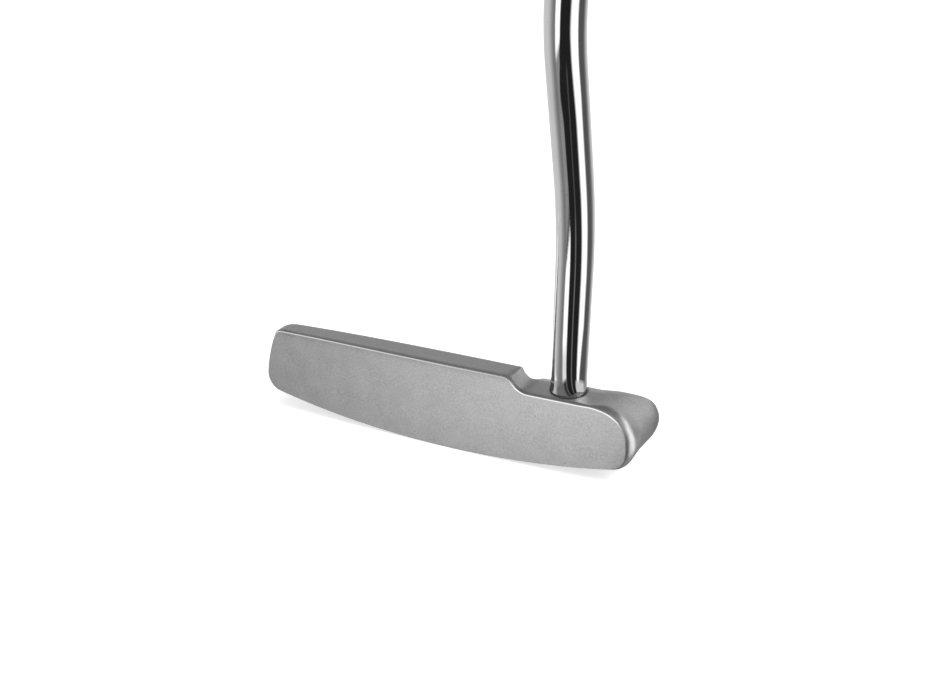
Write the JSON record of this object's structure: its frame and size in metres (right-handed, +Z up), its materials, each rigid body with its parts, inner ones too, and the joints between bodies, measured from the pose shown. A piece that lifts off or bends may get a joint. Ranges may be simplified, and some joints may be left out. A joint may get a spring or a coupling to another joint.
{
  "type": "blade putter",
  "caption": "Heel-shafted blade golf putter: steel head with a flat lofted face and a stepped-down heel ledge, bent chromed tube shaft and rubber grip with a flat front.",
  "frame": {"origin": "lowest point of the cambered sole, where the putter touches the ground", "axes": "+X towards the heel, +Y towards the back of the head (the strike face looks along -Y), +Z up"},
  "size_m": [0.3759, 0.0539, 0.8484],
  "materials": {
    "head_steel": "satin, bead-blasted",
    "shaft_chrome": "polished",
    "plug_rubber": "matte",
    "epoxy": "semi-gloss",
    "tape": "matte",
    "grip_rubber": "matte, pebbled",
    "cap_rubber": "matte",
    "sight_paint": "matte"
  },
  "bodies": {
    "root": {"head": "head_steel", "shaft": "shaft_chrome", "tip_plug": "plug_rubber", "shaft_bond": "epoxy", "grip_tape": "tape", "grip": "grip_rubber", "grip_cap": "cap_rubber", "sight_line": "sight_paint"}
  },
  "joints": []
}
